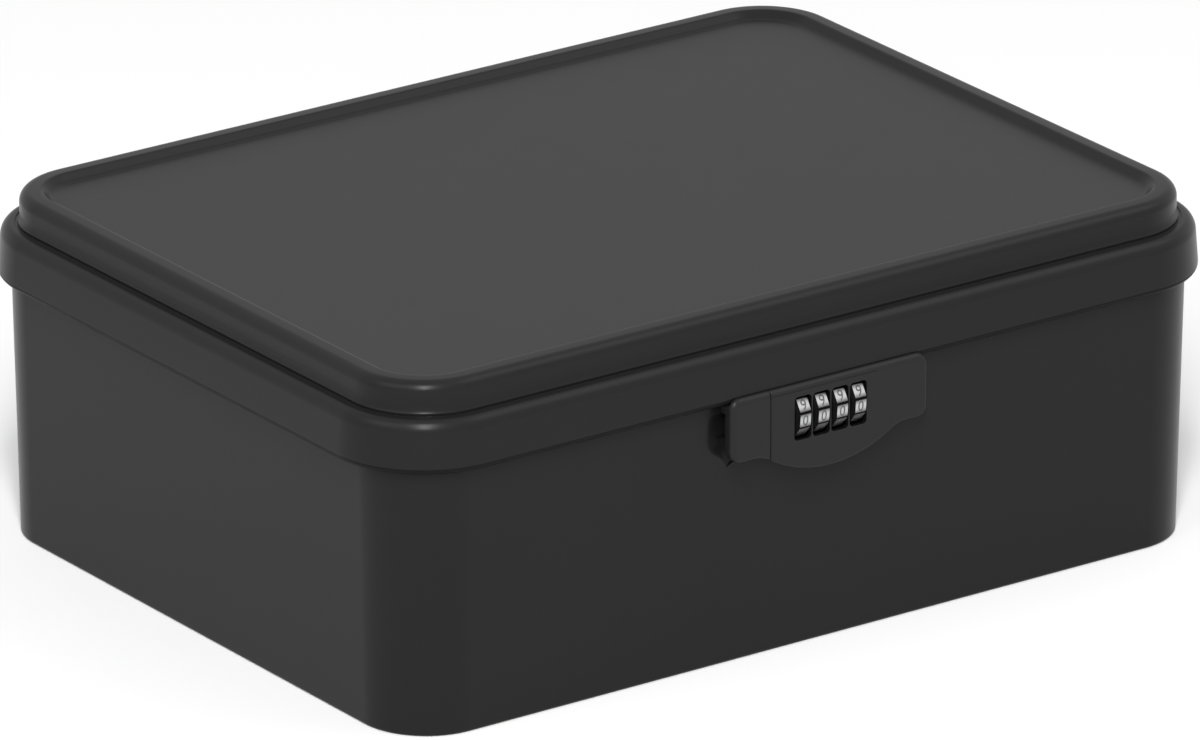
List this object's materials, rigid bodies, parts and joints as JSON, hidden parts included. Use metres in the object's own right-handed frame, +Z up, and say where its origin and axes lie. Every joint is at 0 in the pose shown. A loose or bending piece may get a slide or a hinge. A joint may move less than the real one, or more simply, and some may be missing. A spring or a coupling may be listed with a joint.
{
  "type": "lockable plastic box",
  "caption": "Flat black plastic box with a hinged lid, raised lid tier, and a combination lock with number wheels and a release slide on the front.",
  "frame": {"origin": "middle of the base, on the ground, under the centre of the box's overall length and depth", "axes": "+X along the box's long side, to the right seen from the front; +Y towards the hinges at the back, so the lock faces -Y; +Z up"},
  "size_m": [0.3, 0.2316, 0.1072],
  "materials": {
    "box_plastic": "satin black moulded plastic, no grain",
    "lock_plastic": "satin black moulded plastic of the lock's plate and slide",
    "housing_plastic": "plain black moulded plastic inside the box",
    "wheel_plating": "bright silver plating with plain numbers",
    "plain_steel": "zinc-plated steel",
    "sleeve_plastic": "grey acetal"
  },
  "bodies": {
    "box": {"tub": "box_plastic", "hinge_pin_left": "plain_steel", "hinge_pin_right": "plain_steel", "lock_plate": "lock_plastic", "lock_housing": "housing_plastic", "dial_spindle": "plain_steel", "detent_leaf": "plain_steel", "lock_screw_1": "plain_steel", "lock_screw_2": "plain_steel", "lock_screw_3": "plain_steel", "lock_screw_4": "plain_steel"},
    "lid_body": {"lid": "box_plastic", "striker": "plain_steel", "striker_screw_1": "plain_steel", "striker_screw_2": "plain_steel"},
    "wheel_1": {"dial_1": "wheel_plating", "dial_sleeve_1": "sleeve_plastic"},
    "wheel_2": {"dial_2": "wheel_plating", "dial_sleeve_2": "sleeve_plastic"},
    "wheel_3": {"dial_3": "wheel_plating", "dial_sleeve_3": "sleeve_plastic"},
    "wheel_4": {"dial_4": "wheel_plating", "dial_sleeve_4": "sleeve_plastic"},
    "release": {"release_slider": "lock_plastic", "lock_bolt": "plain_steel", "slider_screw": "plain_steel"},
    "reset": {"code_reset_lever": "housing_plastic"}
  },
  "joints": [
    {"name": "lid_hinge", "type": "hinge", "parent": "box", "child": "lid_body", "pos_m": [0, 0.113, 0.078], "axis": [-1, 0, 0], "range_deg": [0, 105]},
    {"name": "dial_1_spin", "type": "hinge", "parent": "box", "child": "wheel_1", "pos_m": [-0.00984, -0.1082, 0.0731], "axis": [1, 0, 0], "continuous": true},
    {"name": "dial_2_spin", "type": "hinge", "parent": "box", "child": "wheel_2", "pos_m": [-0.00328, -0.1082, 0.0731], "axis": [1, 0, 0], "continuous": true},
    {"name": "dial_3_spin", "type": "hinge", "parent": "box", "child": "wheel_3", "pos_m": [0.00328, -0.1082, 0.0731], "axis": [1, 0, 0], "continuous": true},
    {"name": "dial_4_spin", "type": "hinge", "parent": "box", "child": "wheel_4", "pos_m": [0.00984, -0.1082, 0.0731], "axis": [1, 0, 0], "continuous": true},
    {"name": "release_slide", "type": "slide", "parent": "box", "child": "release", "axis": [-1, 0, 0], "range_m": [0, 0.003]},
    {"name": "code_reset_slide", "type": "slide", "parent": "box", "child": "reset", "axis": [1, 0, 0], "range_m": [0, 0.0025]}
  ]
}
